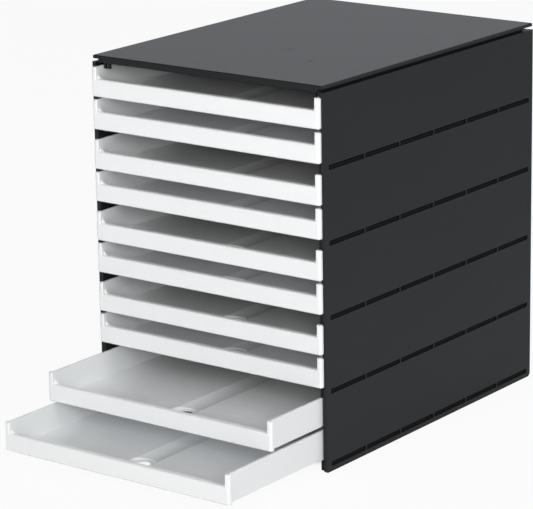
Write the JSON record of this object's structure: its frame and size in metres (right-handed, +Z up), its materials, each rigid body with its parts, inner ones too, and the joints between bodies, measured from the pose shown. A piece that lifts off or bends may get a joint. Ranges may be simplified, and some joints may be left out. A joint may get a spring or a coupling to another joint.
{
  "type": "file box with drawers",
  "caption": "Desk-top file box: a slotted housing with a clipped cover and shallow open trays that slide out to the front.",
  "frame": {"origin": "on the surface that the box stands on, midway between the side panels and midway between the tenth tray's drawn-out front and the housing's back: 100.5 mm behind the front plane of the shut trays", "axes": "+X to the right as seen from the front, +Y to the back, +Z up; the trays slide along -Y"},
  "size_m": [0.246, 0.459, 0.3348],
  "materials": {
    "housing_plastic": "anthracite, fine satin grain",
    "drawer_plastic": "white, smooth satin"
  },
  "bodies": {
    "housing": {"left_side_panel": "housing_plastic", "right_side_panel": "housing_plastic", "base_shelf": "housing_plastic", "shelf_1": "housing_plastic", "shelf_2": "housing_plastic", "shelf_3": "housing_plastic", "shelf_4": "housing_plastic", "back_wall_1": "housing_plastic", "back_wall_2": "housing_plastic", "back_wall_3": "housing_plastic", "back_wall_4": "housing_plastic", "back_wall_5": "housing_plastic", "top_cover": "housing_plastic"},
    "drawer_1": {"drawer_1": "drawer_plastic"},
    "drawer_2": {"drawer_2": "drawer_plastic"},
    "drawer_3": {"drawer_3": "drawer_plastic"},
    "drawer_4": {"drawer_4": "drawer_plastic"},
    "drawer_5": {"drawer_5": "drawer_plastic"},
    "drawer_6": {"drawer_6": "drawer_plastic"},
    "drawer_7": {"drawer_7": "drawer_plastic"},
    "drawer_8": {"drawer_8": "drawer_plastic"},
    "drawer_9": {"drawer_9": "drawer_plastic"},
    "drawer_10": {"drawer_10": "drawer_plastic"}
  },
  "joints": [
    {"name": "drawer_1_slide", "type": "slide", "parent": "housing", "child": "drawer_1", "axis": [0, -1, 0], "range_m": [0, 0.255]},
    {"name": "drawer_2_slide", "type": "slide", "parent": "housing", "child": "drawer_2", "axis": [0, -1, 0], "range_m": [0, 0.255]},
    {"name": "drawer_3_slide", "type": "slide", "parent": "housing", "child": "drawer_3", "axis": [0, -1, 0], "range_m": [0, 0.255]},
    {"name": "drawer_4_slide", "type": "slide", "parent": "housing", "child": "drawer_4", "axis": [0, -1, 0], "range_m": [0, 0.255]},
    {"name": "drawer_5_slide", "type": "slide", "parent": "housing", "child": "drawer_5", "axis": [0, -1, 0], "range_m": [0, 0.255]},
    {"name": "drawer_6_slide", "type": "slide", "parent": "housing", "child": "drawer_6", "axis": [0, -1, 0], "range_m": [0, 0.255]},
    {"name": "drawer_7_slide", "type": "slide", "parent": "housing", "child": "drawer_7", "axis": [0, -1, 0], "range_m": [0, 0.255]},
    {"name": "drawer_8_slide", "type": "slide", "parent": "housing", "child": "drawer_8", "axis": [0, -1, 0], "range_m": [0, 0.255]},
    {"name": "drawer_9_slide", "type": "slide", "parent": "housing", "child": "drawer_9", "axis": [0, -1, 0], "range_m": [-0.071, 0.184]},
    {"name": "drawer_10_slide", "type": "slide", "parent": "housing", "child": "drawer_10", "axis": [0, -1, 0], "range_m": [-0.129, 0.126]}
  ]
}
